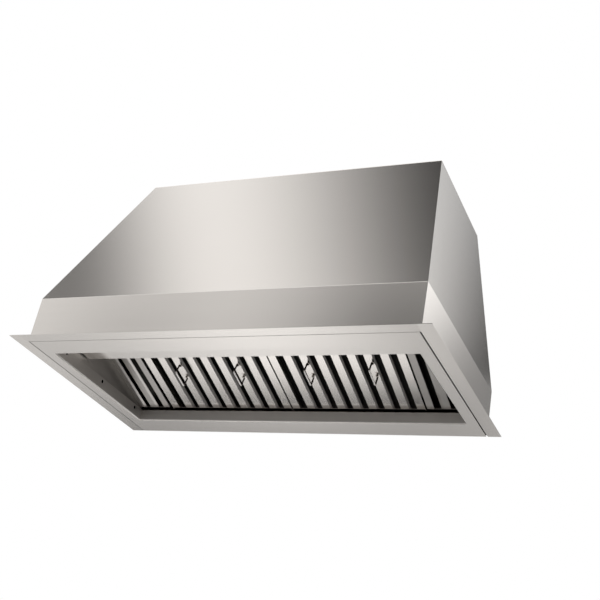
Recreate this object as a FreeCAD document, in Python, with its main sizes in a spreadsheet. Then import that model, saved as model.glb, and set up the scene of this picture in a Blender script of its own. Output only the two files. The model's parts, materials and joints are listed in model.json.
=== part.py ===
"""Range hood insert: folded steel body, recessed light panel, two lift-out baffle filters,
double-inlet blower and top duct collar with a backdraft damper.

Frame: X across the hood, Y from the front to the wall, Z up.  The origin is at the middle of
the outline on the underside of the flange.  All lengths are in millimetres.
"""

import FreeCAD, Part
import math
import os
from types import SimpleNamespace

import Sketcher

# ---------------------------------------------------------------- driving dimensions

SIZES = {
    # folded body
    "overall_width": 914.4,
    "overall_depth": 508.0,
    "body_height": 501.6,
    "band_height": 101.6,
    "flange_width": 28.6,
    "rear_lip": 4.6,
    "roof_inset": 71.6,
    "roof_depth": 300.2,
    "steel": 1.2,
    "seam_gap": 0.1,
    "bend_radius": 1.0,
    "fold_radius": 1.6,
    "overcut": 1.0,
    # ring round the mouth
    "ring_gap": 0.3,
    "ring_gap_right": 2.2,
    "ring_flange_height": 12.0,
    "mouth_side": 29.5,
    "mouth_front": 59.7,
    "mouth_rear": 62.5,
    "side_rim_height": 26.0,
    "front_rim_height": 40.0,
    "rim_hole_bore": 7.5,
    "rim_hole_height": 18.0,
    "rim_hole_inset": 32.6,
    "rim_hole_count": 3,
    # plane of the filters
    "filter_slope_angle": 16.7,
    "filter_rear_height": 27.5,
    "filter_rear_lap": 1.8,
    "filter_front_lap": 4.4,
    "seat_gap": 0.2,
    # one filter
    "filter_setback": 9.0,
    "filter_thickness": 22.0,
    "filter_split": 3.6,
    "filter_sheet": 0.8,
    "slat_width": 18.0,
    "slat_height": 9.0,
    "slat_count": 9,
    "hood_lap": 4.5,
    "hood_lift": 4.0,
    "end_flange": 10.0,
    "foot_reach": 16.0,
    "foot_height": 12.0,
    # bails
    "bail_wire": 3.6,
    "bail_span": 45.0,
    "bail_drop": 23.0,
    "bail_bend": 3.0,
    "bail_offset": 5.4,
    "bail_play": 0.08,
    "ear_room": 0.7,
    "ear_sheet": 1.2,
    "ear_radius": 3.4,
    "ear_drop": 0.2,
    "ear_foot": 5.0,
    "pin_reach": 5.8,
    # side panels beside the filters
    "infill_width": 88.7,
    "infill_gap_left": 8.6,
    "infill_gap_right": 4.2,
    "infill_strip": 15.6,
    "infill_slot": 15.2,
    "infill_wide_strip": 21.1,
    "infill_wall_slot": 12.6,
    "infill_edge": 6.0,
    "infill_edge_rise": 1.5,
    "liner_lap": 4.0,
    # recessed panel with lights and buttons
    "panel_depth": 105.7,
    "panel_end_gap": 3.0,
    "panel_lip": 20.0,
    "ledge_width": 14.0,
    "controls_setback": 41.7,
    "lamp_spread": 250.0,
    "lamp_bore": 58.0,
    "lamp_bezel": 3.0,
    "lamp_bezel_drop": 2.4,
    "lamp_depth": 24.0,
    "lamp_cap": 6.0,
    "lamp_lens": 46.0,
    "button_count": 4,
    "button_pitch": 26.0,
    "button_width": 16.0,
    "button_play": 0.3,
    "button_stand": 3.0,
    "button_flange": 1.3,
    "button_travel": 2.0,
    "stem_radius": 3.0,
    "stem_length": 10.0,
    "stem_play": 0.06,
    "chamber_room": 1.0,
    "stem_room": 2.0,
    "plate_margin": 11.0,
    "plate_sheet": 2.0,
    "switch_wall": 5.0,
    "switch_height": 26.0,
    # shelf behind the mouth
    "shelf_lip": 16.0,
    # blower
    "blower_lead": 87.0,
    "blower_drop": 181.6,
    "scroll_width": 200.0,
    "scroll_sheet": 1.0,
    "scroll_base": 114.0,
    "scroll_step": 24.0,
    "wheel_radius": 90.0,
    "wheel_width": 176.0,
    "wheel_eye": 76.0,
    "blade_count": 36,
    "blade_sheet": 1.0,
    "blade_lead_angle": 9.0,
    "blade_sag_angle": 1.35,
    "inlet_radius": 74.0,
    "inlet_lip": 6.0,
    "tongue_radius": 10.0,
    "outlet_flange": 14.0,
    "shaft_diameter": 8.0,
    "shaft_play": 0.06,
    "hub_radius": 14.0,
    "hub_length": 24.0,
    "motor_radius": 48.0,
    "motor_length": 92.0,
    "bell_length": 7.6,
    "bell_radius": 38.4,
    "shaft_seat": 23.0,
    "motor_gap": 16.0,
    "arm_count": 3,
    "arm_width": 16.0,
    "arm_sheet": 2.5,
    # duct collar and damper
    "collar_setback": 133.4,
    "collar_radius": 100.0,
    "collar_height": 45.0,
    "collar_flange": 15.0,
    "collar_sheet": 1.2,
    "bead_width": 3.3,
    "bead_height": 1.4,
    "damper_height": 4.4,
    "damper_play": 1.3,
    "damper_sheet": 0.8,
    "rod_radius": 3.0,
    "rod_play": 0.06,
    "knuckle_wall": 1.3,
    "knuckle_length": 26.0,
    "knuckle_inner": 24.0,
    "knuckle_gap": 4.0,
    "flap_root": 5.6,
    # wiring box and cable entry
    "box_width": 110.0,
    "box_depth": 70.0,
    "box_height": 46.0,
    "box_inset": 188.6,
    "box_setback": 59.4,
    "tab_width": 35.0,
    "tab_height": 11.5,
    "gland_radius": 11.0,
    "gland_bore": 6.0,
    "gland_wall": 1.0,
    "gland_lip": 1.5,
    "gland_nut": 4.0,
    "gland_stand": 12.0,
    # small fasteners
    "screw_head": 8.0,
    "screw_dome": 2.4,
    "screw_inset": 16.0,
    "collar_screw_count": 6,
}


class Dim:
    """A length kept both as a number and as the sheet formula that gives it."""

    def __init__(self, value, text):
        self.value = float(value)
        self.text = text

    def __add__(self, other):
        other = dim(other)
        return Dim(self.value + other.value, f"({self.text} + {other.text})")

    def __sub__(self, other):
        other = dim(other)
        return Dim(self.value - other.value, f"({self.text} - {other.text})")

    def __mul__(self, other):
        other = dim(other)
        return Dim(self.value * other.value, f"({self.text} * {other.text})")

    def __truediv__(self, other):
        other = dim(other)
        return Dim(self.value / other.value, f"({self.text} / {other.text})")

    def __neg__(self):
        return Dim(-self.value, f"(0 - {self.text})")

    def __radd__(self, other):
        return dim(other) + self

    def __rsub__(self, other):
        return dim(other) - self

    def __rmul__(self, other):
        return dim(other) * self


def dim(number):
    """A plain number or a Dim, as a Dim."""
    return number if isinstance(number, Dim) else Dim(number, f"({number})")


def root(square):
    return Dim(math.sqrt(square.value), f"sqrt({square.text})")


def cosine(angle):
    return Dim(math.cos(math.radians(angle.value)), f"cos({angle.text})")


def sine(angle):
    return Dim(math.sin(math.radians(angle.value)), f"sin({angle.text})")


def tangent(angle):
    return sine(angle) / cosine(angle)


doc = FreeCAD.newDocument("range_hood_insert")
sheet = doc.addObject("Spreadsheet::Sheet", "sizes")
for row, (alias, number) in enumerate(SIZES.items(), start=1):
    sheet.set(f"A{row}", alias)
    sheet.set(f"B{row}", str(number))
    sheet.setAlias(f"B{row}", alias)
doc.recompute()
s = SimpleNamespace(**{alias: Dim(getattr(sheet, alias), f"sizes.{alias}") for alias in SIZES})

nodes = []
V = FreeCAD.Vector


# ---------------------------------------------------------------- building helpers

def add_body(label):
    """An empty body whose label names its file."""
    body = doc.addObject("PartDesign::Body", label)
    body.Label = label
    nodes.append(body)
    return body


def add_sketch(body, role, offset=0.0):
    """A sketch on one of the body's own planes, moved along the plane's normal."""
    plane = next(item for item in body.Origin.OriginFeatures if item.Role == role)
    sketch = body.newObject("Sketcher::SketchObject", f"{body.Name}_sketch")
    sketch.AttachmentSupport = [(plane, "")]
    sketch.MapMode = "FlatFace"
    offset = dim(offset)
    sketch.AttachmentOffset = FreeCAD.Placement(V(0, 0, offset.value), FreeCAD.Rotation())
    sketch.setExpression("AttachmentOffset.Base.z", offset.text)
    return sketch


def fix_point(sketch, geometry, corner, point):
    """Tie one point of the sketch to its two sheet formulas."""
    for kind, coordinate in zip(("DistanceX", "DistanceY"), point):
        coordinate = dim(coordinate)
        number = sketch.addConstraint(
            Sketcher.Constraint(kind, -1, 1, geometry, corner, coordinate.value))
        sketch.setExpression(f"Constraints[{number}]", coordinate.text)


def outline(sketch, points):
    """A closed outline of straight sides through the given points."""
    first = sketch.GeometryCount
    corners = [V(dim(across).value, dim(up).value, 0) for across, up in points]
    count = len(points)
    for index in range(count):
        sketch.addGeometry(Part.LineSegment(corners[index], corners[(index + 1) % count]))
    for index in range(count):
        sketch.addConstraint(Sketcher.Constraint(
            "Coincident", first + index, 2, first + (index + 1) % count, 1))
    for index, point in enumerate(points):
        fix_point(sketch, first + index, 1, point)


def rectangle(sketch, left, right, low, high):
    outline(sketch, [(left, low), (right, low), (right, high), (left, high)])


def circle(sketch, across, up, radius):
    """A circle with its centre and radius tied to sheet formulas."""
    radius = dim(radius)
    centre = V(dim(across).value, dim(up).value, 0)
    geometry = sketch.addGeometry(Part.Circle(centre, V(0, 0, 1), radius.value))
    fix_point(sketch, geometry, 3, (across, up))
    number = sketch.addConstraint(Sketcher.Constraint("Radius", geometry, radius.value))
    sketch.setExpression(f"Constraints[{number}]", radius.text)


def extrude(body, kind, sketch, length, side):
    """A pad or pocket; side is 'up' or 'down' along the plane's normal, or 'both'."""
    feature = body.newObject(f"PartDesign::{kind}", f"{body.Name}_{kind.lower()}")
    feature.Profile = sketch
    feature.SideType = "Symmetric" if side == "both" else "One side"
    feature.Reversed = (side == "down") == (kind == "Pad")
    feature.setExpression("Length", dim(length).text)
    return feature


def pad(body, sketch, length, side="up"):
    return extrude(body, "Pad", sketch, length, side)


def pocket(body, sketch, length, side="both"):
    return extrude(body, "Pocket", sketch, length, side)


def revolve(body, sketch):
    """Turn a half profile, drawn with its axis upright, through a full circle."""
    feature = body.newObject("PartDesign::Revolution", f"{body.Name}_turned")
    feature.Profile = sketch
    feature.ReferenceAxis = (sketch, ["V_Axis"])
    feature.Angle = 360
    return feature


def round_edges(body, wanted, radius):
    """Round those edges of the body's latest shape that the given test picks."""
    doc.recompute()
    base = body.Tip
    names = [f"Edge{number}" for number, edge in enumerate(base.Shape.Edges, start=1)
             if wanted(edge.BoundBox)]
    feature = body.newObject("PartDesign::Fillet", f"{body.Name}_bend")
    feature.Base = (base, names)
    feature.setExpression("Radius", radius.text)
    return feature


def round_fold(body, run, side, outer, inner):
    """Round both faces of the sheet where its upright band folds into the leaning wall.

    Run is the box length along the fold, side the box corner that tells the two faces apart,
    and outer and inner are where the faces of the upright band lie.
    """
    slack = s.steel.value / 4
    low = s.band_height.value - s.steel.value
    high = s.band_height.value + slack

    def fold_on(face):
        return lambda box: (getattr(box, run) > s.body_height.value / 2
                            and low < box.ZMin and box.ZMax < high
                            and abs(getattr(box, side) - face.value) < slack)

    round_edges(body, fold_on(outer), s.fold_radius + s.steel)
    round_edges(body, fold_on(inner), s.fold_radius)


def repeat(body, feature, sketch, axis, count, length):
    """Copies of a feature in a straight row along an axis of its sketch."""
    pattern = body.newObject("PartDesign::LinearPattern", f"{body.Name}_row")
    pattern.Originals = [feature]
    pattern.Direction = (sketch, [axis])
    pattern.setExpression("Length", dim(length).text)
    pattern.setExpression("Occurrences", dim(count).text)
    body.Tip = pattern
    return pattern


def place(item, x=0.0, y=0.0, z=0.0, axis=V(1, 0, 0), angle=0.0):
    """Set a sub-part's placement and tie it to the sheet."""
    angle = dim(angle)
    shift = [dim(x), dim(y), dim(z)]
    item.Placement = FreeCAD.Placement(
        V(*[part.value for part in shift]), FreeCAD.Rotation(axis, angle.value))
    for letter, part in zip("xyz", shift):
        item.setExpression(f"Placement.Base.{letter}", part.text)
    if angle.value:
        item.setExpression("Placement.Rotation.Angle", angle.text)


# ---------------------------------------------------------------- lengths worked out once

wall_x = s.overall_width / 2 - s.flange_width
wall_inner_x = wall_x - s.steel
front_y = s.flange_width - s.overall_depth / 2
front_inner_y = front_y + s.steel
flange_front_y = -(s.overall_depth / 2)
flange_rear_y = s.overall_depth / 2
back_y = flange_rear_y - s.rear_lip
back_inner_y = back_y - s.steel
roof_under = s.body_height - s.steel
roof_front_y = back_y - s.roof_depth
wall_rise = s.body_height - s.band_height

side_lean = s.roof_inset / wall_rise
front_lean = (roof_front_y - front_y) / wall_rise
side_skew = s.steel * root(1 + side_lean * side_lean)
front_skew = s.steel * root(1 + front_lean * front_lean)
side_fold = s.band_height + (s.steel - side_skew) / side_lean
front_fold = s.band_height + (s.steel - front_skew) / front_lean
roof_edge_x = wall_x - side_lean * (roof_under - s.band_height)
roof_edge_y = front_y + front_lean * (roof_under - s.band_height)

mouth_x = wall_x - s.mouth_side
mouth_front_y = front_y + s.mouth_front
mouth_rear_y = back_y - s.mouth_rear
rim_hole_span = mouth_rear_y - mouth_front_y - s.rim_hole_inset * 2
rim_hole_pitch = rim_hole_span / (s.rim_hole_count - 1)
controls_y = mouth_front_y + s.controls_setback
panel_rear_y = mouth_front_y + s.panel_depth
collar_y = back_y - s.collar_setback
blower_y = collar_y - s.blower_lead
blower_z = s.body_height - s.blower_drop
box_x = s.box_inset - wall_x
box_y = back_y - s.box_setback

slope_sine = sine(s.filter_slope_angle)
slope_cosine = cosine(s.filter_slope_angle)
slope_rate = tangent(s.filter_slope_angle)
filter_rear_y = mouth_rear_y + s.filter_rear_lap
filter_front_y = panel_rear_y - s.filter_front_lap
filter_length = (filter_rear_y - filter_front_y) / slope_cosine - s.filter_setback
filter_width = mouth_x - s.infill_width - s.filter_split / 2
foot_end = s.foot_reach - s.filter_setback
shelf_top = s.filter_rear_height - foot_end * slope_sine - s.seat_gap
rear_rim_height = shelf_top - s.steel

filter_x = (filter_width + s.filter_split) / 2
slat_pitch = (filter_width - s.slat_width) / (s.slat_count - 1)
filter_front = -(filter_length + s.filter_setback)
filter_middle = filter_front + filter_length / 2
ear_reach = s.bail_span / 2 - s.bail_bend - s.ear_room
bail_axis_drop = s.ear_radius + s.ear_drop
bail_reach = slat_pitch * 2


def filter_plane(y, above=0.0):
    """Height of the filters' underside, or of a plane parallel to it, at a depth y."""
    return s.filter_rear_height + slope_rate * (filter_rear_y - y) + above / slope_cosine


# ---------------------------------------------------------------- folded body

def side_panel(label, hand):
    """Side sheet: out-turned flange, upright band and a wall that leans in to the roof."""
    body = add_body(label)
    profile = add_sketch(body, "XZ_Plane")
    outline(profile, [
        (hand * wall_inner_x, 0),
        (hand * s.overall_width / 2, 0),
        (hand * s.overall_width / 2, s.steel),
        (hand * wall_x, s.steel),
        (hand * wall_x, s.band_height),
        (hand * roof_edge_x, roof_under),
        (hand * (roof_edge_x - side_skew), roof_under),
        (hand * wall_inner_x, side_fold),
    ])
    pad(body, profile, s.overall_depth, "both")
    trim = add_sketch(body, "YZ_Plane")
    outline(trim, [
        (flange_front_y - s.overcut, s.steel),
        (front_inner_y, s.steel),
        (front_inner_y, front_fold),
        (roof_edge_y + front_skew, roof_under),
        (roof_edge_y + front_skew, s.body_height),
        (flange_front_y - s.overcut, s.body_height),
    ])
    rectangle(trim, back_inner_y, flange_rear_y + s.overcut, s.steel, s.body_height)
    pocket(body, trim, (s.overall_width + s.overcut) * 2)
    corners = add_sketch(body, "XY_Plane")
    inside = hand * (wall_inner_x - s.overcut)
    rectangle(corners, inside, hand * wall_x, flange_front_y - s.overcut, front_inner_y)
    rectangle(corners, inside, hand * wall_x, back_inner_y, flange_rear_y + s.overcut)
    pocket(body, corners, s.steel * 4)
    limit = s.steel.value / 2

    def under_the_wall(box):
        return (box.ZMax < limit and box.YLength > s.overall_depth.value / 2
                and max(abs(box.XMin), abs(box.XMax)) < wall_x.value - limit)

    round_edges(body, under_the_wall, s.bend_radius)
    round_fold(body, "YLength", "XMin", hand * wall_x, hand * wall_inner_x)
    return body


def front_panel():
    """Front sheet: flange strip between the side flanges, upright band and sloping face."""
    body = add_body("front_panel")
    strip = add_sketch(body, "XY_Plane")
    strip_x = wall_x - s.seam_gap
    rectangle(strip, -strip_x, strip_x, flange_front_y, front_inner_y)
    pad(body, strip, s.steel)
    profile = add_sketch(body, "YZ_Plane")
    outline(profile, [
        (front_y, s.steel),
        (front_inner_y, s.steel),
        (front_inner_y, front_fold),
        (roof_edge_y + front_skew, roof_under),
        (roof_edge_y, roof_under),
        (front_y, s.band_height),
    ])
    pad(body, profile, wall_x * 2, "both")
    trim = add_sketch(body, "XZ_Plane")
    for hand in (-1, 1):
        outline(trim, [
            (hand * wall_x, s.band_height),
            (hand * (wall_x + s.overcut), s.band_height),
            (hand * (wall_x + s.overcut), s.body_height),
            (hand * roof_edge_x, s.body_height),
            (hand * roof_edge_x, roof_under),
        ])
    pocket(body, trim, s.overall_depth + s.overcut * 2)
    limit = s.steel.value / 2

    def under_the_wall(box):
        return (box.ZMax < limit and box.XLength > wall_x.value
                and box.YMin > front_y.value + limit)

    round_edges(body, under_the_wall, s.bend_radius)
    round_fold(body, "XLength", "YMin", front_y, front_inner_y)
    return body


def back_panel():
    """Flat rear sheet that stands on the ring and closes the body against the wall."""
    body = add_body("back_panel")
    profile = add_sketch(body, "XZ_Plane", -back_inner_y)
    outline(profile, [
        (-wall_x, s.steel),
        (wall_x, s.steel),
        (wall_x, s.band_height),
        (roof_edge_x, roof_under),
        (-roof_edge_x, roof_under),
        (-wall_x, s.band_height),
    ])
    pad(body, profile, s.steel, "down")
    return body


def top_panel():
    """Flat roof with the duct hole and the cable hole."""
    body = add_body("top_panel")
    profile = add_sketch(body, "XY_Plane", roof_under)
    rectangle(profile, -roof_edge_x, roof_edge_x, roof_edge_y, back_y)
    circle(profile, 0, collar_y, s.collar_radius - s.collar_sheet)
    circle(profile, box_x, box_y, s.gland_bore + s.gland_wall)
    pad(body, profile, s.steel)
    return body


def mouth_ring():
    """Flat ring round the mouth with upturned rims and the mounting holes in its side rims."""
    body = add_body("mouth_ring")
    left = s.ring_gap - wall_inner_x
    right = wall_inner_x - s.ring_gap_right
    edge_front = front_inner_y + s.ring_gap
    edge_rear = back_inner_y - s.ring_gap
    plate = add_sketch(body, "XY_Plane")
    rectangle(plate, left, right, edge_front, flange_rear_y)
    rectangle(plate, -mouth_x, mouth_x, mouth_front_y, mouth_rear_y)
    pad(body, plate, s.steel)

    outer = add_sketch(body, "XY_Plane")
    outline(outer, [
        (left, edge_rear),
        (left, edge_front),
        (right, edge_front),
        (right, edge_rear),
        (right - s.steel, edge_rear),
        (right - s.steel, edge_front + s.steel),
        (left + s.steel, edge_front + s.steel),
        (left + s.steel, edge_rear),
    ])
    pad(body, outer, s.ring_flange_height)

    sides = add_sketch(body, "XY_Plane")
    for hand in (-1, 1):
        rectangle(sides, hand * mouth_x, hand * (mouth_x + s.steel),
                  mouth_front_y - s.steel, mouth_rear_y)
    pad(body, sides, s.side_rim_height)
    front = add_sketch(body, "XY_Plane")
    rectangle(front, -mouth_x - s.steel, mouth_x + s.steel, mouth_front_y - s.steel, mouth_front_y)
    pad(body, front, s.front_rim_height)
    rear = add_sketch(body, "XY_Plane")
    rectangle(rear, -mouth_x - s.steel, mouth_x + s.steel, mouth_rear_y, mouth_rear_y + s.steel)
    pad(body, rear, rear_rim_height)

    holes = add_sketch(body, "YZ_Plane")
    for step in range(int(s.rim_hole_count.value)):
        hole_y = mouth_front_y + s.rim_hole_inset + rim_hole_pitch * step
        circle(holes, hole_y, s.rim_hole_height, s.rim_hole_bore / 2)
    pocket(body, holes, mouth_x * 2 + s.steel * 4)
    limit = s.steel.value / 2

    def near_mouth(box, reach):
        return (max(-box.XMin, box.XMax) < mouth_x.value + reach
                and box.YMin > mouth_front_y.value - reach
                and box.YMax < mouth_rear_y.value + reach)

    def flange_fold(box):
        return (box.ZMax < limit and box.YMin < flange_rear_y.value - limit
                and not near_mouth(box, limit))

    def rim_fold_below(box):
        return box.ZMax < limit and near_mouth(box, limit)

    def rim_fold_above(box):
        return (max(abs(box.ZMin - s.steel.value), abs(box.ZMax - s.steel.value)) < limit
                and near_mouth(box, s.steel.value + limit))

    round_edges(body, flange_fold, s.bend_radius)
    round_edges(body, rim_fold_below, s.fold_radius + s.steel)
    round_edges(body, rim_fold_above, s.fold_radius)
    return body


def liner(label, hand):
    """Upright wall above a side rim, cut to the slope of the filters."""
    body = add_body(label)
    inner = mouth_x + s.steel
    profile = add_sketch(body, "YZ_Plane", hand * (inner + s.steel / 2))
    low = s.side_rim_height - s.liner_lap
    outline(profile, [
        (mouth_front_y, low),
        (mouth_rear_y, low),
        (mouth_rear_y, filter_plane(mouth_rear_y, s.filter_thickness)),
        (mouth_front_y, filter_plane(mouth_front_y, s.filter_thickness)),
    ])
    pad(body, profile, s.steel, "both")
    return body


# ---------------------------------------------------------------- pieces in the filter plane

def folded(points, thickness):
    """Outline of a right-angled sheet: the given face, then the one to the left of its path."""
    normals = []
    for (across, up), (next_across, next_up) in zip(points, points[1:]):
        run = dim(next_across).value - dim(across).value
        rise = dim(next_up).value - dim(up).value
        normals.append((-math.copysign(1, rise) if abs(rise) > abs(run) else 0,
                        math.copysign(1, run) if abs(run) > abs(rise) else 0))
    before = [(0, 0)] + normals
    after = normals + [(0, 0)]
    inside = [
        (across + thickness * (first[0] + second[0]), up + thickness * (first[1] + second[1]))
        for (across, up), first, second in zip(points, before, after)]
    return points + inside[::-1]


def mirrored(points, hand):
    """The points as they are, or turned over left to right and run the other way."""
    return points if hand > 0 else [(-across, up) for across, up in points[::-1]]


def place_in_filter_plane(item, x):
    place(item, x, filter_rear_y, s.filter_rear_height, V(1, 0, 0), -s.filter_slope_angle)


def filter_frame(label, x):
    """Filter frame: two channel rails and two end plates, with feet behind the rear plate."""
    body = add_body(label)
    edge = filter_width / 2
    rails = add_sketch(body, "XZ_Plane", s.filter_setback)
    rail = [
        (edge - s.slat_width, s.slat_height),
        (edge - s.slat_width, dim(0)),
        (edge, dim(0)),
        (edge, s.filter_thickness),
        (edge - s.end_flange, s.filter_thickness),
    ]
    for hand in (-1, 1):
        outline(rails, folded(mirrored(rail, hand), s.filter_sheet))
    pad(body, rails, filter_length)

    ends = add_sketch(body, "YZ_Plane")
    rear = s.filter_sheet - s.filter_setback
    front = filter_front - s.filter_sheet
    flange = s.end_flange + s.filter_sheet
    outline(ends, folded([
        (rear, dim(0)),
        (rear, s.filter_thickness),
        (rear - flange, s.filter_thickness),
    ], s.filter_sheet))
    outline(ends, folded([
        (front + flange, s.filter_thickness),
        (front, s.filter_thickness),
        (front, dim(0)),
    ], s.filter_sheet))
    pad(body, ends, filter_width, "both")

    for hand in (-1, 1):
        foot = add_sketch(body, "YZ_Plane", hand * (edge - s.filter_sheet / 2))
        rectangle(foot, -s.filter_setback, foot_end, 0, s.foot_height)
        pad(body, foot, s.filter_sheet, "both")
    place_in_filter_plane(body, x)
    return body


def lower_slats(label, x):
    """The channels that open upward, between the two rails."""
    body = add_body(label)
    row = add_sketch(body, "XZ_Plane", s.filter_setback)
    left = slat_pitch - filter_width / 2
    outline(row, folded([
        (left, s.slat_height),
        (left, dim(0)),
        (left + s.slat_width, dim(0)),
        (left + s.slat_width, s.slat_height),
    ], s.filter_sheet))
    first = pad(body, row, filter_length)
    repeat(body, first, row, "H_Axis", s.slat_count - 2, slat_pitch * (s.slat_count - 3))
    place_in_filter_plane(body, x)
    return body


def upper_slats(label, x):
    """The hoods that open downward and cover the gaps between the lower channels."""
    body = add_body(label)
    row = add_sketch(body, "XZ_Plane", s.filter_setback)
    left = s.slat_width - filter_width / 2 - s.hood_lap
    right = slat_pitch - filter_width / 2 + s.hood_lap
    top = s.filter_thickness - s.filter_sheet
    outline(row, folded([
        (right, s.hood_lift),
        (right, top),
        (left, top),
        (left, s.hood_lift),
    ], s.filter_sheet))
    first = pad(body, row, filter_length)
    repeat(body, first, row, "H_Axis", s.slat_count - 1, slat_pitch * (s.slat_count - 2))
    place_in_filter_plane(body, x)
    return body


def bail_offset_x(hand):
    """Where a bail hangs across its filter: near the right-hand edge of its strip."""
    return hand * bail_reach + s.bail_offset


def bail_clips(label, x):
    """Four pierced lugs under the third and the seventh strip, each with a short welded foot."""
    body = add_body(label)
    middles = [bail_offset_x(hand) for hand in (-1, 1)]
    cheeks = add_sketch(body, "XZ_Plane", -filter_middle)
    for bail_x in middles:
        rectangle(cheeks, bail_x - s.ear_radius, bail_x + s.ear_radius, -bail_axis_drop, 0)
    pad(body, cheeks, ear_reach * 2, "both")
    rounds = add_sketch(body, "XZ_Plane", -filter_middle)
    for bail_x in middles:
        circle(rounds, bail_x, -bail_axis_drop, s.ear_radius)
    pad(body, rounds, ear_reach * 2, "both")
    opening = add_sketch(body, "YZ_Plane")
    inside = ear_reach - s.ear_sheet
    between = inside - s.ear_foot
    outline(opening, [
        (filter_middle - inside, -(bail_axis_drop + s.ear_radius + s.overcut)),
        (filter_middle + inside, -(bail_axis_drop + s.ear_radius + s.overcut)),
        (filter_middle + inside, -s.ear_sheet),
        (filter_middle + between, -s.ear_sheet),
        (filter_middle + between, s.overcut),
        (filter_middle - between, s.overcut),
        (filter_middle - between, -s.ear_sheet),
        (filter_middle - inside, -s.ear_sheet),
    ])
    pocket(body, opening, filter_width)
    holes = add_sketch(body, "XZ_Plane", -filter_middle)
    for bail_x in middles:
        circle(holes, bail_x, -bail_axis_drop, s.bail_wire / 2 + s.bail_play)
    pocket(body, holes, ear_reach * 2 + s.overcut)
    place_in_filter_plane(body, x)
    return body


def rounded_path(corners, radius):
    """Straight runs through the corners, joined by tangent arcs of one radius."""
    edges = []
    start = corners[0]
    for before, corner, after in zip(corners, corners[1:], corners[2:]):
        arriving = (before - corner).normalize()
        leaving = (after - corner).normalize()
        half_turn = (math.pi - arriving.getAngle(leaving)) / 2
        reach = radius * math.tan(half_turn)
        bisector = (arriving + leaving).normalize()
        middle = corner + bisector * (radius / math.cos(half_turn) - radius)
        entry = corner + arriving * reach
        end = corner + leaving * reach
        edges.append(Part.LineSegment(start, entry).toShape())
        edges.append(Part.Arc(entry, middle, end).toShape())
        start = end
    edges.append(Part.LineSegment(start, corners[-1]).toShape())
    return Part.Wire(edges)


def bail(label, x, hand):
    """Wire bail whose turned-in ends sit in a pair of lugs."""
    item = doc.addObject("Part::Feature", label)
    item.Label = label
    bail_x = bail_offset_x(hand).value
    middle = filter_middle.value
    half = s.bail_span.value / 2
    axis = -bail_axis_drop.value
    low = axis - s.bail_drop.value
    pin = half - s.pin_reach.value
    path = rounded_path([
        V(bail_x, middle - pin, axis),
        V(bail_x, middle - half, axis),
        V(bail_x, middle - half, low),
        V(bail_x, middle + half, low),
        V(bail_x, middle + half, axis),
        V(bail_x, middle + pin, axis),
    ], s.bail_bend.value)
    section = Part.Wire(Part.Circle(
        V(bail_x, middle - pin, axis), V(0, 1, 0), s.bail_wire.value / 2).toShape())
    item.Shape = path.makePipeShell([section], True, False)
    place_in_filter_plane(item, x)
    nodes.append(item)
    return item


def infill(label, hand, gap):
    """Hollow filler beside a filter: two long slots between strips level with the slats."""
    body = add_body(label)
    edge = filter_x + filter_width / 2 + gap
    wall = mouth_x + s.steel - s.seam_gap
    narrow_end = edge + s.infill_strip
    wide_start = narrow_end + s.infill_slot
    wide_end = wide_start + s.infill_wide_strip
    last_start = wide_end + s.infill_wall_slot
    shell = add_sketch(body, "XZ_Plane", s.filter_setback)
    outline(shell, folded(mirrored([
        (wall, dim(0)),
        (wall, s.filter_thickness),
        (edge, s.filter_thickness),
        (edge, dim(0)),
        (narrow_end, dim(0)),
        (narrow_end, s.slat_height),
    ], hand), s.filter_sheet))
    pad(body, shell, filter_length)
    for setback in (s.filter_setback, s.filter_setback + filter_length - s.filter_sheet):
        end = add_sketch(body, "XZ_Plane", setback)
        rectangle(end, hand * edge, hand * wall, 0, s.filter_thickness)
        pad(body, end, s.filter_sheet)
    strips = add_sketch(body, "XZ_Plane", s.filter_setback)
    for start, end in ((wide_start, wide_end), (last_start, wall)):
        bend = start + s.infill_edge
        outline(strips, [
            (hand * start, s.infill_edge_rise),
            (hand * bend, dim(0)),
            (hand * end, dim(0)),
            (hand * end, s.filter_sheet),
            (hand * bend, s.filter_sheet),
            (hand * start, s.infill_edge_rise + s.filter_sheet),
        ])
    pad(body, strips, filter_length)
    place_in_filter_plane(body, 0)
    return body


# ---------------------------------------------------------------- front panel inside the mouth

def light_panel():
    """Recessed panel on the front rim, turned up at the rear into the filters' front ledge."""
    body = add_body("light_panel")
    front = mouth_front_y - s.steel
    low = s.front_rim_height
    rear = panel_rear_y
    tip = rear + s.ledge_width
    wall = rear - s.steel
    profile = add_sketch(body, "YZ_Plane")
    outline(profile, [
        (front, low + s.panel_lip),
        (front, low),
        (rear, low),
        (rear, filter_plane(rear, -(s.seat_gap + s.steel))),
        (tip, filter_plane(tip, -(s.seat_gap + s.steel))),
        (tip, filter_plane(tip, -s.seat_gap)),
        (wall, filter_plane(wall, -s.seat_gap)),
        (wall, low + s.steel),
        (front + s.steel, low + s.steel),
        (front + s.steel, low + s.panel_lip),
    ])
    pad(body, profile, mouth_x * 2 - s.panel_end_gap * 2, "both")
    cuts = add_sketch(body, "XY_Plane", low)
    for hand in (-1, 1):
        circle(cuts, hand * s.lamp_spread, controls_y, s.lamp_bore / 2)
    half_width = button_row / 2 + s.button_flange + s.button_play
    half_depth = s.button_width / 2 + s.button_flange + s.button_play
    rectangle(cuts, -half_width, half_width, controls_y - half_depth, controls_y + half_depth)
    pocket(body, cuts, s.steel * 4)
    return body


def lamp_bezels():
    body = add_body("lamp_bezels")
    rings = add_sketch(body, "XY_Plane", s.front_rim_height)
    for hand in (-1, 1):
        circle(rings, hand * s.lamp_spread, controls_y, s.lamp_bore / 2 + s.lamp_bezel)
        circle(rings, hand * s.lamp_spread, controls_y, s.lamp_lens / 2)
    pad(body, rings, s.lamp_bezel_drop, "down")
    return body


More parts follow.
